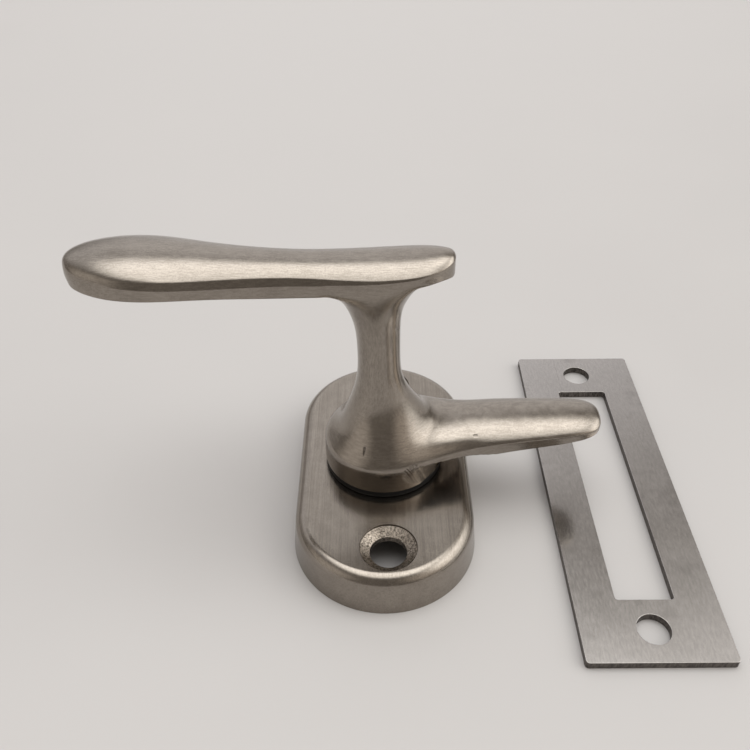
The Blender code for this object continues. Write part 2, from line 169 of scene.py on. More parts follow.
# Marks on the lever, in millimetres from the pivot's axis on the floor: two ends and half width.
NICK = ((-3.1, -7.0, 15.6), (-3.2, -7.9, 13.8), 0.16)
GROOVE = ((0.9, -2.6, 36.3), (2.6, -1.4, 34.6), 0.25)
PIT = ((14.6, -4.3, 15.5), (14.9, -4.3, 15.5), 0.2)
FILED_SKIN = ((7.4, -6.6, 9.4), (4.6, -8.6, 11.4), 1.9)

# Filed spot where the nose's underside meets the boss: a flat at this bearing from +X and this
# far from the axis at FILED_HEIGHT, leaning in by its slope and ending at its top.
FILED_BEARING = -42.0
FILED_FROM_AXIS = 9.57
FILED_HEIGHT = 9.9
FILED_SLOPE = 0.04
FILED_TOP = 12.5

# --- Washers, bush and screw ---------------------------------------------------------------------
BOSS_WASHER_R = 9.75
BOSS_WASHER_BORE_R = 6.2
BOSS_WASHER_EDGE = 0.15
BOSS_WASHER_SEAT_GAP = 0.02
BUSH_R = 5.6
BUSH_BORE_R = 4.45
BUSH_EDGE = 0.25
WAVE_WASHER_R = 6.8
WAVE_WASHER_BORE_R = 4.7
WAVE_WASHER_THICKNESS = 0.3
WAVE_WASHER_EDGE = 0.06
WAVE_HEIGHT = 0.08
WAVES = 3
RETAINING_WASHER_R = 7.0
RETAINING_WASHER_THICKNESS = 0.75
RETAINING_WASHER_EDGE = 0.1
SCREW_HEAD_R = 3.1
SCREW_HEAD_THICKNESS = 0.9
SCREW_R = 1.4
SCREW_TIP = 9.5
SCREW_EDGE = 0.3
SCREW_SLOT_WIDTH = 0.9
SCREW_SLOT_DEPTH = 0.45
FRAME_GAP = 0.25

ROUND_STEPS = 128

# --- Camera --------------------------------------------------------------------------------------
CAMERA_AT = (-3.579, -95.089, 105.039)
CAMERA_DOWN = 0.693
CAMERA_YAW = -0.005
CAMERA_ROLL = -0.011
CAMERA_LENS = 38.251

# --- Floor and light -----------------------------------------------------------------------------
FLOOR_SIZE = 3000.0
FLOOR_DROP = 0.03
# Soft patches of light in a dim room: bearing (0 behind the object, 90 to its right), height,
# inner and outer half angle of the patch, all in degrees, then the radiance.
AMBIENT_LIGHT = (0.26, 0.235, 0.21)
SOFT_LIGHTS = (
    ("overhead", 335, 85, 6, 35, (2.45, 2.45, 2.41)),
    ("right", 90, 30, 6, 38, (1.75, 1.75, 1.72)),
    ("right_high", 78, 56, 5, 34, (0.95, 0.94, 0.92)),
    ("right_front", 125, 30, 5, 36, (0.50, 0.45, 0.40)),
    ("back", 5, 18, 5, 38, (0.70, 0.70, 0.72)),
    ("back_left", 310, 20, 5, 36, (0.18, 0.18, 0.19)),
    ("back_left_high", 320, 50, 5, 40, (0.52, 0.53, 0.56)),
    ("left", 245, 20, 5, 36, (0.50, 0.47, 0.44)),
)


# --- Node helpers --------------------------------------------------------------------------------
def feed(tree, socket, value):
    if isinstance(value, bpy.types.NodeSocket):
        tree.links.new(value, socket)
    else:
        socket.default_value = value


def add_node(tree, kind, values=None, **settings):
    made = tree.nodes.new(kind)
    for key, setting in settings.items():
        setattr(made, key, setting)
    for name, value in (values or {}).items():
        feed(tree, made.inputs[name], value)
    return made


def maths(tree, operation, first, second=0.0, third=0.0):
    made = add_node(tree, "ShaderNodeMath", {0: first, 1: second, 2: third}, operation=operation)
    return made.outputs[0]


def vector_maths(tree, operation, first, second=(0.0, 0.0, 0.0), output="Vector"):
    made = add_node(tree, "ShaderNodeVectorMath", {0: first, 1: second}, operation=operation)
    return made.outputs[output]


def scaled_vector(tree, vector, factor):
    made = add_node(tree, "ShaderNodeVectorMath", {0: vector, "Scale": factor}, operation="SCALE")
    return made.outputs[0]


def rescale(tree, value, low, high, to_low=0.0, to_high=1.0):
    """Map a value smoothly from one range to another, and stop it at the ends."""
    made = add_node(tree, "ShaderNodeMapRange", {"Value": value, "From Min": low, "From Max": high,
                                                 "To Min": to_low, "To Max": to_high})
    made.interpolation_type = "SMOOTHSTEP"
    return made.outputs["Result"]


def mix(tree, factor, first, second):
    made = add_node(tree, "ShaderNodeMix", data_type="FLOAT")
    for index, value in ((0, factor), (2, first), (3, second)):
        feed(tree, made.inputs[index], value)
    return made.outputs[0]


def mix_colour(tree, factor, first, second):
    made = add_node(tree, "ShaderNodeMix", data_type="RGBA")
    for index, value in ((0, factor), (6, first), (7, second)):
        feed(tree, made.inputs[index], value)
    return made.outputs[2]


def noise(tree, coordinates, size, stretch=(1.0, 1.0, 1.0), detail=2.0, roughness=0.5):
    """Noise whose grains are about `size` mm wide, and longer along each axis by `stretch`."""
    scale = [1.0 / (MM * size * factor) for factor in stretch]
    scaled = vector_maths(tree, "MULTIPLY", coordinates, scale)
    made = add_node(tree, "ShaderNodeTexNoise", {"Vector": scaled, "Scale": 1.0, "Detail": detail,
                                                 "Roughness": roughness})
    return made.outputs["Fac"]


def height_of(tree, coordinates):
    return add_node(tree, "ShaderNodeSeparateXYZ", {0: coordinates}).outputs["Z"]


def stroke(tree, coordinates, mark, softness):
    """1 on a straight mark between two points, fading to 0 just outside its half width."""
    start, end, half_width = mark
    start = Vector(start) * MM
    along = Vector(end) * MM - start
    away = vector_maths(tree, "SUBTRACT", coordinates, start)
    part = maths(tree, "DIVIDE", vector_maths(tree, "DOT_PRODUCT", away, along, "Value"),
                 along.length_squared)
    part = maths(tree, "MINIMUM", maths(tree, "MAXIMUM", part, 0.0), 1.0)
    reach = scaled_vector(tree, along, part)
    distance = vector_maths(tree, "DISTANCE", away, reach, "Value")
    inner = half_width * MM * (1 - softness)
    outer = half_width * MM * (1 + softness)
    return rescale(tree, distance, inner, outer, 1.0, 0.0)


def bump(tree, height, depth, normal=None):
    """A bump `depth` mm high."""
    made = add_node(tree, "ShaderNodeBump", {"Height": height, "Distance": depth * MM,
                                             "Strength": 1.0})
    if normal:
        tree.links.new(normal, made.inputs["Normal"])
    return made.outputs["Normal"]


def new_material(name):
    made = bpy.data.materials.new(name)
    made.use_nodes = True
    tree = made.node_tree
    coordinates = add_node(tree, "ShaderNodeTexCoord").outputs["Object"]
    return made, tree, tree.nodes["Principled BSDF"], coordinates


# --- Materials -----------------------------------------------------------------------------------
NICKEL_LIGHT = (0.34, 0.306, 0.268, 1.0)
NICKEL_DARK = (0.245, 0.217, 0.188, 1.0)
STRIKE_LIGHT = (0.535, 0.512, 0.497, 1.0)
STRIKE_DARK = (0.465, 0.448, 0.433, 1.0)


def satin_metal(name, grain, light=NICKEL_LIGHT, dark=NICKEL_DARK, roughness=0.2,
                grain_depth=0.004, mottling_size=3.0, marks=None, mark_depth=0.0):
    """Satin-polished nickel.  `grain(tree, coordinates)` returns the polishing lines.

    `marks(tree, coordinates)` returns how dark and deep the handling marks are, from 0 to 1.
    """
    made, tree, shader, coordinates = new_material(name)
    lines = grain(tree, coordinates)
    mottling = noise(tree, coordinates, mottling_size, detail=3.0)
    speckle = noise(tree, coordinates, 0.22, detail=3.0, roughness=0.7)
    tone = mix(tree, 0.2, mix(tree, 0.45, lines, speckle), mottling)
    colour = mix_colour(tree, rescale(tree, tone, 0.36, 0.64), dark, light)
    worn = marks(tree, coordinates) if marks else 0.0
    colour = mix_colour(tree, worn, colour, (0.05, 0.04, 0.035, 1.0))
    feed(tree, shader.inputs["Base Color"], colour)
    shader.inputs["Metallic"].default_value = 1.0
    spread = maths(tree, "MULTIPLY_ADD", lines, 0.08, roughness - 0.06)
    feed(tree, shader.inputs["Roughness"], maths(tree, "MULTIPLY_ADD", mottling, 0.06, spread))
    normal = bump(tree, lines, grain_depth)
    normal = bump(tree, speckle, grain_depth * 0.8, normal)
    normal = bump(tree, mottling, grain_depth * 2, normal)
    if mark_depth:
        normal = bump(tree, maths(tree, "SUBTRACT", 0.0, worn), mark_depth, normal)
    feed(tree, shader.inputs["Normal"], normal)
    return made


def plate_grain(tree, coordinates):
    fine = noise(tree, coordinates, 0.2, (1.0, 60.0, 1.0), detail=2.0, roughness=0.6)
    coarse = noise(tree, coordinates, 0.4, (1.0, 40.0, 1.0), detail=2.0)
    return mix(tree, 0.4, fine, coarse)


def lever_grain(tree, coordinates):
    along_bar = noise(tree, coordinates, 0.2, (7.0, 1.0, 1.0), detail=3.0, roughness=0.6)
    along_stem = noise(tree, coordinates, 0.22, (1.0, 1.0, 5.0), detail=3.0)
    round_boss = noise(tree, coordinates, 0.2, (7.0, 7.0, 1.0), detail=3.0, roughness=0.6)
    height = height_of(tree, coordinates)
    low = rescale(tree, height, 16 * MM, 23 * MM, 1.0, 0.0)
    high = rescale(tree, height, 38 * MM, 42 * MM)
    upright = mix(tree, low, along_stem, round_boss)
    return mix(tree, high, upright, along_bar)


def lever_marks(tree, coordinates):
    """A nick, a tool groove, a casting pit, and the crossed file scratches on the boss."""
    ragged = noise(tree, coordinates, 0.5, detail=4.0)
    uneven = rescale(tree, ragged, 0.3, 0.6, 0.25, 1.0)
    nick = maths(tree, "MULTIPLY", stroke(tree, coordinates, NICK, 0.8), uneven)
    groove = maths(tree, "MULTIPLY", stroke(tree, coordinates, GROOVE, 0.8), 0.35)
    pit = maths(tree, "MULTIPLY", stroke(tree, coordinates, PIT, 0.8), 0.3)
    across = vector_maths(tree, "DOT_PRODUCT", coordinates, (0.75, 0.5, 0.43), "Value")
    lines = add_node(tree, "ShaderNodeTexNoise", {"W": maths(tree, "DIVIDE", across, 0.24 * MM),
                                                  "Scale": 1.0, "Detail": 3.0},
                     noise_dimensions="1D").outputs["Fac"]
    scratches = rescale(tree, mix(tree, 0.4, lines, ragged), 0.44, 0.62, 0.0, 0.5)
    edge = rescale(tree, maths(tree, "MULTIPLY_ADD", ragged, 0.6,
                               stroke(tree, coordinates, FILED_SKIN, 0.35)), 0.75, 0.95)
    filed = maths(tree, "MULTIPLY", scratches, edge)
    return maths(tree, "MAXIMUM", maths(tree, "MAXIMUM", nick, groove),
                 maths(tree, "MAXIMUM", pit, filed))


def strike_grain(tree, coordinates):
    return noise(tree, coordinates, 0.35, (1.0, 4.0, 1.0), detail=4.0)


def strike_marks(tree, coordinates):
    """Faint smudges and a few long hairline scratches."""
    smudges = rescale(tree, noise(tree, coordinates, 7.0, detail=5.0, roughness=0.6), 0.56, 0.72,
                      0.0, 0.16)
    bent = vector_maths(tree, "MULTIPLY", coordinates, (1.0, 0.35, 1.0))
    hairs = noise(tree, bent, 0.3, (1.0, 90.0, 1.0), detail=1.0)
    scratches = rescale(tree, hairs, 0.74, 0.78, 0.0, 0.3)
    return maths(tree, "MAXIMUM", smudges, scratches)


def machined_metal(name):
    """The rough cone of a countersink, bright with chatter marks, and its thin upper step painted
    dark as painted shade.
    """
    made, tree, shader, coordinates = new_material(name)
    grit = noise(tree, coordinates, 0.28, detail=4.0, roughness=0.7)
    patches = noise(tree, coordinates, 0.9, detail=2.0)
    height = height_of(tree, coordinates)
    rim_low = (PLATE_HEIGHT - COUNTERSINK_STEP) * MM
    # Painted shade: above the step's lower edge the colour drops to 0.12 of its brightness.
    rim = rescale(tree, height, rim_low, rim_low + 0.05 * MM, 1.0, 0.12)
    grit_tone_and_step_shade = maths(tree, "MULTIPLY", rescale(tree, grit, 0.35, 0.62), rim)
    feed(tree, shader.inputs["Base Color"],
         mix_colour(tree, grit_tone_and_step_shade, (0.07, 0.058, 0.047, 1), (0.42, 0.37, 0.315, 1)))
    shader.inputs["Metallic"].default_value = 1.0
    feed(tree, shader.inputs["Roughness"], rescale(tree, patches, 0.3, 0.7, 0.28, 0.5))
    feed(tree, shader.inputs["Normal"], bump(tree, grit, 0.03))
    return made


def painted_shade_underside(name):
    """The inside of the backplate, near black as painted shade for its dark cavity, with an
    as-cast grain.
    """
    made, tree, shader, coordinates = new_material(name)
    grains = noise(tree, coordinates, 0.5, detail=5.0, roughness=0.65)
    # The near-black colours are painted shade for the cavity.
    feed(tree, shader.inputs["Base Color"],
         mix_colour(tree, grains, (0.03, 0.028, 0.026, 1), (0.08, 0.075, 0.07, 1)))
    shader.inputs["Metallic"].default_value = 0.3
    feed(tree, shader.inputs["Roughness"], rescale(tree, grains, 0.2, 0.8, 0.45, 0.65))
    feed(tree, shader.inputs["Normal"], bump(tree, grains, 0.05))
    return made


def side_wall_metal(name):
    """Darker, rougher metal with upright tears, given to every side wall of the stamped strike
    plate.
    """
    made, tree, shader, coordinates = new_material(name)
    tears = noise(tree, coordinates, 0.18, (1.0, 1.0, 5.0), detail=3.0)
    feed(tree, shader.inputs["Base Color"],
         mix_colour(tree, rescale(tree, tears, 0.3, 0.7), (0.05, 0.045, 0.04, 1),
                    (0.2, 0.18, 0.165, 1)))
    shader.inputs["Metallic"].default_value = 0.85
    feed(tree, shader.inputs["Roughness"], rescale(tree, tears, 0.3, 0.7, 0.4, 0.6))
    feed(tree, shader.inputs["Normal"], bump(tree, tears, 0.03))
    return made


def plain_steel(name):
    """Zinc-plated steel with a slightly cloudy plating."""
    made, tree, shader, coordinates = new_material(name)
    clouds = noise(tree, coordinates, 1.6, detail=4.0)
    scratches = noise(tree, coordinates, 0.12, (12.0, 1.0, 1.0), detail=2.0)
    feed(tree, shader.inputs["Base Color"],
         mix_colour(tree, clouds, (0.36, 0.36, 0.36, 1), (0.52, 0.52, 0.5, 1)))
    shader.inputs["Metallic"].default_value = 1.0
    feed(tree, shader.inputs["Roughness"], rescale(tree, clouds, 0.3, 0.7, 0.26, 0.38))
    feed(tree, shader.inputs["Normal"], bump(tree, scratches, 0.004))
    return made


def moulded_plastic(name, dark, light, roughness, depth, specular=0.5):
    made, tree, shader, coordinates = new_material(name)
    shader.inputs["Specular IOR Level"].default_value = specular
    skin = noise(tree, coordinates, 0.4, detail=4.0)
    feed(tree, shader.inputs["Base Color"], mix_colour(tree, skin, dark, light))
    feed(tree, shader.inputs["Roughness"], rescale(tree, skin, 0.3, 0.7, roughness - 0.06,
                                                   roughness + 0.06))
    feed(tree, shader.inputs["Normal"], bump(tree, skin, depth))
    return made


def pale_floor(name):
    made, tree, shader, coordinates = new_material(name)
    clouds = noise(tree, coordinates, 45.0, detail=4.0)
    grain = noise(tree, coordinates, 1.2, detail=3.0)
    feed(tree, shader.inputs["Base Color"],
         mix_colour(tree, clouds, (0.515, 0.502, 0.496, 1), (0.545, 0.531, 0.525, 1)))
    feed(tree, shader.inputs["Roughness"], rescale(tree, clouds, 0.3, 0.7, 0.42, 0.5))
    feed(tree, shader.inputs["Normal"], bump(tree, grain, 0.01))
    return made


# --- Mesh helpers --------------------------------------------------------------------------------
def add_object(name, bm, place=(0.0, 0.0), materials=()):
    """Put a bmesh, given in millimetres, into the scene as one object."""
    mesh = bpy.data.meshes.new(name)
    bmesh.ops.scale(bm, vec=(MM, MM, MM), verts=bm.verts)
    bm.to_mesh(mesh)
    bm.free()
    thing = bpy.data.objects.new(name, mesh)
    thing.location = (place[0] * MM, place[1] * MM, 0.0)
    bpy.context.scene.collection.objects.link(thing)
    for finish in materials:
        mesh.materials.append(finish)
    return thing


def cut_away(thing, cutter):
    """Subtract the cutter; the cut faces take its material."""
    cut = thing.modifiers.new("cut", "BOOLEAN")
    cut.object = cutter
    cut.operation = "DIFFERENCE"
    cut.solver = "EXACT"
    cut.material_mode = "TRANSFER"


def settle(thing, *cutters):
    """Bake the modifiers into the mesh and drop the cutters."""
    graph = bpy.context.evaluated_depsgraph_get()
    made = bpy.data.meshes.new_from_object(thing.evaluated_get(graph), depsgraph=graph)
    thing.modifiers.clear()
    thing.data = made
    for cutter in cutters:
        bpy.data.objects.remove(cutter, do_unlink=True)


def smooth(thing, angle=32):
    thing.data.shade_smooth()
    thing.data.set_sharp_from_angle(angle=radians(angle))


def flatten_shading(thing):
    """Large flat faces keep their own normals next to fine roundings."""
    weigh = thing.modifiers.new("weighted_normals", "WEIGHTED_NORMAL")
    weigh.keep_sharp = True
    weigh.weight = 100


def arc(centre_x, centre_y, radius, start, end, steps):
    points = []
    for i in range(steps + 1):
        angle = radians(start + (end - start) * i / steps)
        points.append((centre_x + radius * cos(angle), centre_y + radius * sin(angle)))
    return points


def stadium(width, length, steps=72):
    reach = (length - width) / 2
    return (arc(0, reach, width / 2, 0, 180, steps)
            + arc(0, -reach, width / 2, 180, 360, steps))


def rounded_rectangle(width, length, radius, steps=6):
    points = []
    for quarter, (sx, sy) in enumerate(((1, 1), (-1, 1), (-1, -1), (1, -1))):
        centre = (sx * (width / 2 - radius), sy * (length / 2 - radius))
        points += arc(*centre, radius, 90 * quarter, 90 * quarter + 90, steps)
    return points


def prism(outline, low, high):
    """A closed slab of the outline between two heights."""
    bm = bmesh.new()
    ring = [bm.verts.new((x, y, low)) for x, y in outline]
    base = bm.faces.new(ring)
    lifted = bmesh.ops.extrude_face_region(bm, geom=[base])["geom"]
    top = [part for part in lifted if isinstance(part, bmesh.types.BMVert)]
    bmesh.ops.translate(bm, vec=(0, 0, high - low), verts=top)
    bmesh.ops.recalc_face_normals(bm, faces=bm.faces)
    return bm


def weigh_top_edge(bm, outline, height):
    """Give the slab's top edge another outline, and mark it for a weighted Bevel."""
    weight = bm.edges.layers.float.new("bevel_weight_edge")
    top = [v for v in bm.verts if abs(v.co.z - height) < 1e-4]
    for vert, (x, y) in zip(top, outline):
        vert.co.x = x
        vert.co.y = y
    for edge in bm.edges:
        if edge.verts[0] in top and edge.verts[1] in top:
            edge[weight] = 1.0


def turned(name, points, place, closed=True, materials=(), steps=ROUND_STEPS):
    """A profile turned round Z: outer side first, top to bottom."""
    bm = bmesh.new()
    chain = [bm.verts.new((r, 0.0, z)) for r, z in points]
    for first, second in zip(chain, chain[1:]):
        bm.edges.new((first, second))
    if closed:
        bm.edges.new((chain[-1], chain[0]))
    bmesh.ops.spin(bm, geom=bm.verts[:] + bm.edges[:], cent=(0, 0, 0), axis=(0, 0, 1),
                   angle=2 * pi, steps=steps, use_merge=True)
    bmesh.ops.remove_doubles(bm, verts=bm.verts, dist=0.0001)
    bmesh.ops.recalc_face_normals(bm, faces=bm.faces)
    return add_object(name, bm, place, materials)


def ring_profile(outer, bore, low, high, edge):
    """A ring's section with its four edges broken by `edge`."""
    return ((outer - edge, high), (outer, high - edge), (outer, low + edge), (outer - edge, low),
            (bore + edge, low), (bore, low + edge), (bore, high - edge), (bore + edge, high))


# --- Backplate -----------------------------------------------------------------------------------
def make_backplate(finish, cone_finish, inside_shade_finish):
    place = (PIVOT_X, PLATE_Y)
    body = prism(stadium(PLATE_WIDTH, PLATE_LENGTH), 0.0, PLATE_HEIGHT)
    drafted = stadium(PLATE_WIDTH - 2 * PLATE_DRAFT, PLATE_LENGTH - 2 * PLATE_DRAFT)
    weigh_top_edge(body, drafted, PLATE_HEIGHT)
    plate = add_object("fine_backplate", body, place, [finish])
    rounding = plate.modifiers.new("rounding", "BEVEL")
    rounding.width = PLATE_EDGE_ROUNDING * MM
    rounding.segments = PLATE_ROUNDING_SEGMENTS
    rounding.limit_method = "WEIGHT"

    inner = stadium(PLATE_WIDTH - 2 * PLATE_WALL, PLATE_LENGTH - 2 * PLATE_WALL)
    web_bottom = PLATE_HEIGHT - PLATE_WEB
    # The pocket and bore walls take the near-black painted shade.
    pocket = add_object("pocket_cut", prism(inner, -1.0, web_bottom), place, [inside_shade_finish])
    spots = [(PIVOT_X + SCREW_HOLE_SHIFT, PLATE_Y + side * SCREW_HOLE_Y) for side in (-1, 1)]
    cut_away(plate, pocket)

    step = PLATE_HEIGHT - COUNTERSINK_STEP
    profile = ((0, PLATE_HEIGHT + 1), (COUNTERSINK_R + 1, PLATE_HEIGHT + 1),
               (COUNTERSINK_R + COUNTERSINK_EDGE, PLATE_HEIGHT),
               (COUNTERSINK_R, PLATE_HEIGHT - COUNTERSINK_EDGE), (COUNTERSINK_R, step),
               (SCREW_HOLE_R, step - COUNTERSINK_DEPTH),
               (SCREW_HOLE_R, -1.0), (0, -1.0))
    holes = [turned("hole", profile, spot, False, [cone_finish]) for spot in spots]
    bore_profile = ((0, PLATE_HEIGHT + 1), (BUSH_R + FRAME_GAP / 4, PLATE_HEIGHT + 1),
                    (BUSH_R + FRAME_GAP / 4, web_bottom - 1), (0, web_bottom - 1))
    bore = turned("bore", bore_profile, (PIVOT_X, PIVOT_Y), False, [inside_shade_finish])
    for cutter in holes + [bore]:
        cut_away(plate, cutter)
    settle(plate, pocket, bore, *holes)
    smooth(plate)
    flatten_shading(plate)
    return plate


# --- Lever ---------------------------------------------------------------------------------------
def skin_rows(bm, upper, lower, skip=()):
    """Quads between two rows of cage points; skipped ones leave a hole to grow from."""
    for k in range(len(upper) - 1):
        if k not in skip:
            bm.faces.new((upper[k], upper[k + 1], lower[k + 1], lower[k]))


def crease_row(bm, row, layer, amount):
    for first, second in zip(row, row[1:]):
        edge = bm.edges.get((first, second))
        if edge:
            edge[layer] = amount


def half_ring(bm, height, left, right, depth):
    """Cage points of half a round ring, from +X over +Y to -X, that rounds to the size given."""
    middle = (left + right) / 2
    reach = (right - left) / 2 / CAGE_ROUNDING
    depth = depth / CAGE_ROUNDING
    ring = []
    for k in range(HALF_RING_POINTS):
        angle = pi * k / (HALF_RING_POINTS - 1)
        ring.append(bm.verts.new((middle + reach * cos(angle), depth * sin(angle), height)))
    ring[0].co.y = ring[-1].co.y = 0.0
    return ring


def handle_section(bm, x, half, ridge_half, under_half, top, crease, ridge, under):
    shoulder = crease + SHOULDER_RISE * (top - crease)
    outline = ((0, top), (SHOULDER_HALF * half, shoulder), (half, crease), (ridge_half, ridge),
               (under_half, under), (0, under - UNDERSIDE_CROWN))
    return [bm.verts.new((x, y, z)) for y, z in outline]


def nose_section(bm, x, half, top, crease, under):
    shoulder = crease + SHOULDER_RISE * (top - crease)
    outline = ((0, top), (SHOULDER_HALF * half, shoulder), (half, crease), (half, under),
               (0, under))
    return [bm.verts.new((x, y, z)) for y, z in outline]


def add_handle(bm, layer):
    """The handle bar, with a hole in its underside; returns the hole's edge points."""
    rows = [handle_section(bm, *station) for station in HANDLE_STATIONS]
    first, middle, last = STEM_STATIONS
    for i in range(len(rows) - 1):
        skin_rows(bm, rows[i], rows[i + 1], skip=(4,) if first <= i < last else ())
    for end, swell in ((rows[0], -END_SWELL), (rows[-1], END_SWELL)):
        mids = [bm.verts.new((end[2].co.x + swell, 0, end[k].co.z)) for k in (2, 3)]
        end[5].co.x += swell
        bm.faces.new((end[0], end[1], end[2], mids[0]))
        bm.faces.new((mids[0], end[2], end[3], mids[1]))
        bm.faces.new((mids[1], end[3], end[4], end[5]))
    crease_row(bm, [row[2] for row in rows[1:4]], layer, CREASE_FADING)
    crease_row(bm, [row[2] for row in rows[3:]] + [mids[0]], layer, CREASE_EDGE)
    crease_row(bm, [row[3] for row in rows[2:last]], layer, CREASE_EDGE)
    crease_row(bm, [row[3] for row in rows[first:]], layer, CREASE_FADING)
    crease_row(bm, [row[4] for row in rows[:first + 1]], layer, CREASE_EDGE)
    crease_row(bm, [rows[first][4], rows[middle][4]], layer, CREASE_FADING)
    crease_row(bm, [row[4] for row in rows[last:]] + [rows[-1][5]], layer, CREASE_EDGE)
    bm.verts.remove(rows[middle][5])
    return [rows[last][5], rows[last][4], rows[middle][4], rows[first][4], rows[first][5]]


def add_stem_and_boss(bm, top_ring, layer):
    """Rings from the handle's underside down to the shank; returns the nose's root points."""
    rings = [top_ring] + [half_ring(bm, *ring) for ring in STEM_RINGS]
    boss = [half_ring(bm, z, -r, r, depth) for z, r, depth in BOSS_RINGS]
    for upper, lower in zip(rings, rings[1:] + boss[:1]):
        skin_rows(bm, upper, lower)
    skin_rows(bm, boss[0], boss[1], skip=(0,))
    skin_rows(bm, boss[1], boss[2], skip=(0,))
    bm.verts.remove(boss[1][0])
    boss[0][0].co = (NOSE_ROOT[0], 0.0, NOSE_ROOT[1])
    boss[0][1].co += Vector(NOSE_FILLET)
    crease_row(bm, boss[1][2:], layer, CREASE_FADING)

    foot = ((BOSS_BOTTOM, BOSS_R), (BOSS_BOTTOM, SHANK_R), (SHANK_SHOULDER, SHANK_R),
            (SHANK_SHOULDER, SHANK_END_R), (SHANK_END, SHANK_END_R))
    above = boss[2]
    for z, r in foot:
        below = half_ring(bm, z, -r, r, r)
        skin_rows(bm, above, below)
        crease_row(bm, below, layer, 1.0)
        above = below
    centre = bm.verts.new((0, 0, SHANK_END))
    bm.faces.new((above[0], above[1], above[2], centre))
    bm.faces.new((centre, above[2], above[3], above[4]))
    return [boss[0][0], boss[0][1], boss[1][1], boss[2][1], boss[2][0]]


def add_nose(bm, root, layer):
    rows = [root] + [nose_section(bm, *station) for station in NOSE_STATIONS]
    for upper, lower in zip(rows, rows[1:]):
        skin_rows(bm, upper, lower)
    tip = rows[-1]
    middle = bm.verts.new((tip[2].co.x + NOSE_SWELL, 0, tip[2].co.z))
    bm.faces.new((tip[0], tip[1], tip[2], middle))
    bm.faces.new((middle, tip[2], tip[3], tip[4]))
    crease_row(bm, [row[2] for row in rows[1:]] + [middle], layer, CREASE_SOFT)
    crease_row(bm, [row[3] for row in rows[1:]] + [tip[4]], layer, CREASE_EDGE)


def lever_cage():
    """Half of the lever's coarse cage, open at the XZ plane that the Mirror closes."""
    bm = bmesh.new()
    layer = bm.edges.layers.float.new("crease_edge")
    underside = add_handle(bm, layer)
    nose_root = add_stem_and_boss(bm, underside, layer)
    add_nose(bm, nose_root, layer)
    bmesh.ops.recalc_face_normals(bm, faces=bm.faces)
    highest = max(bm.faces, key=lambda face: face.calc_center_median().z)
    if highest.normal.z < 0:
        bmesh.ops.reverse_faces(bm, faces=bm.faces)
    return bm


def file_boss(thing):
    """Flatten the small spot that was filed clean where the casting's flash met the boss."""
    bearing = radians(FILED_BEARING)
    outward = Vector((cos(bearing), sin(bearing), 0.0))
    for vert in thing.data.vertices:
        spot = vert.co / MM
        if spot.z > FILED_TOP or spot.z < BOSS_BOTTOM - 0.5:
            continue
        over = spot.dot(outward) - FILED_FROM_AXIS + FILED_SLOPE * (spot.z - FILED_HEIGHT)
        if over > 0:
            vert.co -= outward * over * MM


def make_lever(finish):
    pivot = (PIVOT_X, PIVOT_Y)
    lever = add_object("fine_lever", lever_cage(), pivot, [finish])
    mirror = lever.modifiers.new("other_half", "MIRROR")
    mirror.use_axis = (False, True, False)
    mirror.merge_threshold = 0.00005
    soften = lever.modifiers.new("soft_casting", "SUBSURF")
    soften.levels = LEVER_SUBDIVISION
    soften.render_levels = LEVER_SUBDIVISION

    bore_profile = ((0, SCREW_BORE_TOP), (SCREW_BORE_R, SCREW_BORE_TOP),
                    (SCREW_BORE_R, SHANK_END - 1), (0, SHANK_END - 1))
    cutters = [turned("bore", bore_profile, pivot, False, [finish], 48)]
    for side in (-1, 1):
        half = SHANK_END_R
        flat_top = SHANK_SHOULDER - FIT_GAP
        block = prism(rounded_rectangle(4 * half, half, 0.1), SHANK_END - 1, flat_top)
        spot = (PIVOT_X, PIVOT_Y + side * (SHANK_FLATS + half) / 2)
        cutters.append(add_object("flat", block, spot, [finish]))
    for cutter in cutters:
        cut_away(lever, cutter)
    settle(lever, *cutters)
    file_boss(lever)
    smooth(lever)
    return lever


# --- Washers, bush and screw ---------------------------------------------------------------------
def make_boss_washer(finish):
    low = PLATE_HEIGHT + BOSS_WASHER_SEAT_GAP
    high = BOSS_BOTTOM - BOSS_WASHER_SEAT_GAP
    profile = ring_profile(BOSS_WASHER_R, BOSS_WASHER_BORE_R, low, high, BOSS_WASHER_EDGE)
    washer = turned("fine_boss_washer", profile, (PIVOT_X, PIVOT_Y), True, [finish])
    smooth(washer, 50)
    return washer


def make_pivot_bush(finish):
    low = PLATE_HEIGHT - PLATE_WEB
    profile = ring_profile(BUSH_R, BUSH_BORE_R, low, PLATE_HEIGHT, BUSH_EDGE)
    bush = turned("fine_pivot_bush", profile, (PIVOT_X, PIVOT_Y), True, [finish])
    smooth(bush, 50)
    return bush


def make_wave_washer(finish):
    """A thin ring whose height waves round its circle."""
    middle = (SHANK_SHOULDER + PLATE_HEIGHT - PLATE_WEB) / 2
    half = WAVE_WASHER_THICKNESS / 2
    profile = ring_profile(WAVE_WASHER_R, WAVE_WASHER_BORE_R, middle - half, middle + half,
                           WAVE_WASHER_EDGE)
    washer = turned("fine_wave_washer", profile, (PIVOT_X, PIVOT_Y), True, [finish])
    for vert in washer.data.vertices:
        turn = vert.co.xy.angle_signed(Vector((1.0, 0.0)))
        vert.co.z += WAVE_HEIGHT * MM * sin(WAVES * turn)
    smooth(washer, 50)
    return washer


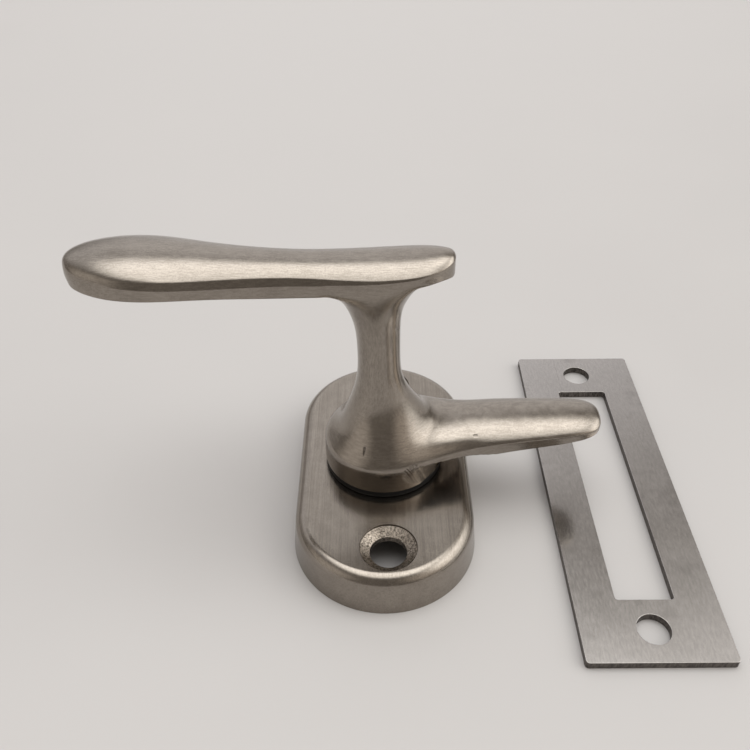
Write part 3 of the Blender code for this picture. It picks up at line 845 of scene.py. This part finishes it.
def make_retaining_washer(finish):
    """A flat disc with a two-flat hole that keys it to the shank's end."""
    high = SHANK_SHOULDER - FRAME_GAP
    low = high - RETAINING_WASHER_THICKNESS
    edge = RETAINING_WASHER_EDGE
    disc = ((0, high), (RETAINING_WASHER_R - edge, high), (RETAINING_WASHER_R, high - edge),
            (RETAINING_WASHER_R, low + edge), (RETAINING_WASHER_R - edge, low), (0, low))
    washer = turned("fine_retaining_washer", disc, (PIVOT_X, PIVOT_Y), False, [finish])
    hole_r = SHANK_END_R + FIT_GAP
    half_flat = SHANK_FLATS / 2 + FIT_GAP
    round_hole = arc(0, 0, hole_r, 0, 360 - 360 / 96, 95)
    outline = [(x, max(-half_flat, min(half_flat, y))) for x, y in round_hole]
    hole = add_object("hole", prism(outline, low - 1, high + 1), (PIVOT_X, PIVOT_Y), [finish])
    cut_away(washer, hole)
    settle(washer, hole)
    smooth(washer, 50)
    flatten_shading(washer)
    return washer


def make_retaining_screw(finish):
    washer_low = SHANK_SHOULDER - FRAME_GAP - RETAINING_WASHER_THICKNESS
    head_high = min(SHANK_END, washer_low) - FRAME_GAP
    head_low = head_high - SCREW_HEAD_THICKNESS
    rim_centre = (head_low + SCREW_EDGE, SCREW_HEAD_R - SCREW_EDGE)
    rim = [(r, z) for z, r in arc(*rim_centre, SCREW_EDGE, 90, 180, 6)]
    profile = ((0, SCREW_TIP), (SCREW_R - SCREW_EDGE, SCREW_TIP),
               (SCREW_R, SCREW_TIP - SCREW_EDGE),
               (SCREW_R, head_high), (SCREW_HEAD_R, head_high), *rim, (0, head_low))
    screw = turned("fine_retaining_screw", profile, (PIVOT_X, PIVOT_Y), False, [finish], 72)
    slot_outline = rounded_rectangle(2 * SCREW_HEAD_R + 1, SCREW_SLOT_WIDTH, 0.05, 1)
    slot = add_object("slot", prism(slot_outline, head_low - 1, head_low + SCREW_SLOT_DEPTH),
                      (PIVOT_X, PIVOT_Y), [finish])
    cut_away(screw, slot)
    settle(screw, slot)
    smooth(screw)
    flatten_shading(screw)
    return screw


# --- Strike plate --------------------------------------------------------------------------------
def make_strike_plate(finish, side_wall_finish):
    place = (STRIKE_X, 0.0)
    outline = rounded_rectangle(STRIKE_WIDTH, STRIKE_LENGTH, STRIKE_CORNER_R)
    strike = add_object("fine_strike_plate", prism(outline, 0.0, STRIKE_THICKNESS), place,
                        [finish, side_wall_finish])
    slot_outline = rounded_rectangle(SLOT_WIDTH, SLOT_LENGTH, SLOT_CORNER_R)
    slot = prism(slot_outline, -1.0, STRIKE_THICKNESS + 1)
    cutters = [add_object("slot", slot, place, [side_wall_finish])]
    for side in (-1, 1):
        spot = (STRIKE_X, side * STRIKE_HOLE_SPACING / 2)
        profile = ((0, STRIKE_THICKNESS + 1), (STRIKE_HOLE_R, STRIKE_THICKNESS + 1),
                   (STRIKE_HOLE_R, -1.0), (0, -1.0))
        cutters.append(turned("hole", profile, spot, False, [side_wall_finish], 96))
    for cutter in cutters:
        cut_away(strike, cutter)
    settle(strike, *cutters)
    # Every upright face takes the darker side-wall metal.
    for face in strike.data.polygons:
        face.material_index = 1 if abs(face.normal.z) < 0.5 else 0
    rounding = strike.modifiers.new("rolled_edges", "BEVEL")
    rounding.width = STRIKE_EDGE_ROUNDING * MM
    rounding.segments = 3
    rounding.limit_method = "ANGLE"
    rounding.angle_limit = radians(50)
    rounding.material = 0
    settle(strike)
    smooth(strike, 45)
    flatten_shading(strike)
    return strike


# --- Studio --------------------------------------------------------------------------------------
def make_floor():
    bm = bmesh.new()
    bmesh.ops.create_grid(bm, x_segments=2, y_segments=2, size=FLOOR_SIZE / 2)
    floor = add_object("floor", bm, (0.0, 0.0), [pale_floor("pale_floor")])
    floor.location.z = -FLOOR_DROP * MM


def bearing_vector(bearing, height):
    bearing = radians(bearing)
    height = radians(height)
    return (sin(bearing) * cos(height), cos(bearing) * cos(height), sin(height))


def make_surroundings():
    """A dim room with soft patches of light, as large softboxes give."""
    world = bpy.data.worlds.new("studio")
    bpy.context.scene.world = world
    world.use_nodes = True
    tree = world.node_tree
    direction = add_node(tree, "ShaderNodeTexCoord").outputs["Generated"]
    total = AMBIENT_LIGHT
    for name, bearing, height, inner, outer, radiance in SOFT_LIGHTS:
        facing = vector_maths(tree, "DOT_PRODUCT", direction, bearing_vector(bearing, height),
                              "Value")
        patch = rescale(tree, facing, cos(radians(outer)), cos(radians(inner)))
        patch.node.label = name
        total = vector_maths(tree, "ADD", scaled_vector(tree, radiance, patch), total)
    tree.links.new(total, tree.nodes["Background"].inputs["Color"])


def make_camera():
    data = bpy.data.cameras.new("camera")
    data.lens = CAMERA_LENS
    data.sensor_width = 36.0
    data.clip_start = 0.005
    data.clip_end = 20.0
    camera = bpy.data.objects.new("camera", data)
    bpy.context.scene.collection.objects.link(camera)
    forward = Vector((sin(CAMERA_YAW) * cos(CAMERA_DOWN), cos(CAMERA_YAW) * cos(CAMERA_DOWN),
                      -sin(CAMERA_DOWN)))
    level = Vector((cos(CAMERA_YAW), -sin(CAMERA_YAW), 0.0))
    upright = level.cross(forward)
    right = cos(CAMERA_ROLL) * level + sin(CAMERA_ROLL) * upright
    up = cos(CAMERA_ROLL) * upright - sin(CAMERA_ROLL) * level
    turn = Matrix((right, up, -forward)).transposed()
    camera.matrix_world = Matrix.Translation(Vector(CAMERA_AT) * MM) @ turn.to_4x4()
    bpy.context.scene.camera = camera


# --- Build ---------------------------------------------------------------------------------------
def stand_in(piece, node, body):
    """The piece takes the CAD node's place on its body."""
    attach(piece, body)
    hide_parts(node)


plate_finish = satin_metal("satin_nickel_plate", plate_grain, mottling_size=2.2)
lever_finish = satin_metal("satin_nickel_lever", lever_grain, marks=lever_marks, mark_depth=0.12)
strike_finish = satin_metal("satin_nickel_strike", strike_grain, STRIKE_LIGHT, STRIKE_DARK,
                            roughness=0.16, grain_depth=0.0006, mottling_size=6.0,
                            marks=strike_marks)
machined = machined_metal("machined_cone")
# underside: near-black painted shade for the backplate's cavity.
underside = painted_shade_underside("painted_shade_underside")
side_walls = side_wall_metal("side_wall_metal")
steel = plain_steel("plain_steel")
nylon = moulded_plastic("black_nylon", (0.006, 0.006, 0.006, 1), (0.014, 0.014, 0.014, 1),
                        roughness=0.55, depth=0.006, specular=0.12)
acetal = moulded_plastic("ivory_acetal", (0.6, 0.58, 0.52, 1), (0.68, 0.66, 0.6, 1),
                         roughness=0.42, depth=0.004)

backplate = make_backplate(plate_finish, machined, underside)
stand_in(backplate, "backplate", "backplate")
stand_in(make_pivot_bush(acetal), "pivot_bush", "backplate")
stand_in(make_boss_washer(nylon), "boss_washer", "backplate")
stand_in(make_lever(lever_finish), "lever", "lever")
stand_in(make_wave_washer(steel), "wave_washer", "lever")
stand_in(make_retaining_washer(steel), "retaining_washer", "lever")
stand_in(make_retaining_screw(steel), "retaining_screw", "lever")
stand_in(make_strike_plate(strike_finish, side_walls), "strike_plate", "strike")

make_floor()
make_surroundings()
make_camera()
bpy.context.scene.view_settings.view_transform = "Standard"
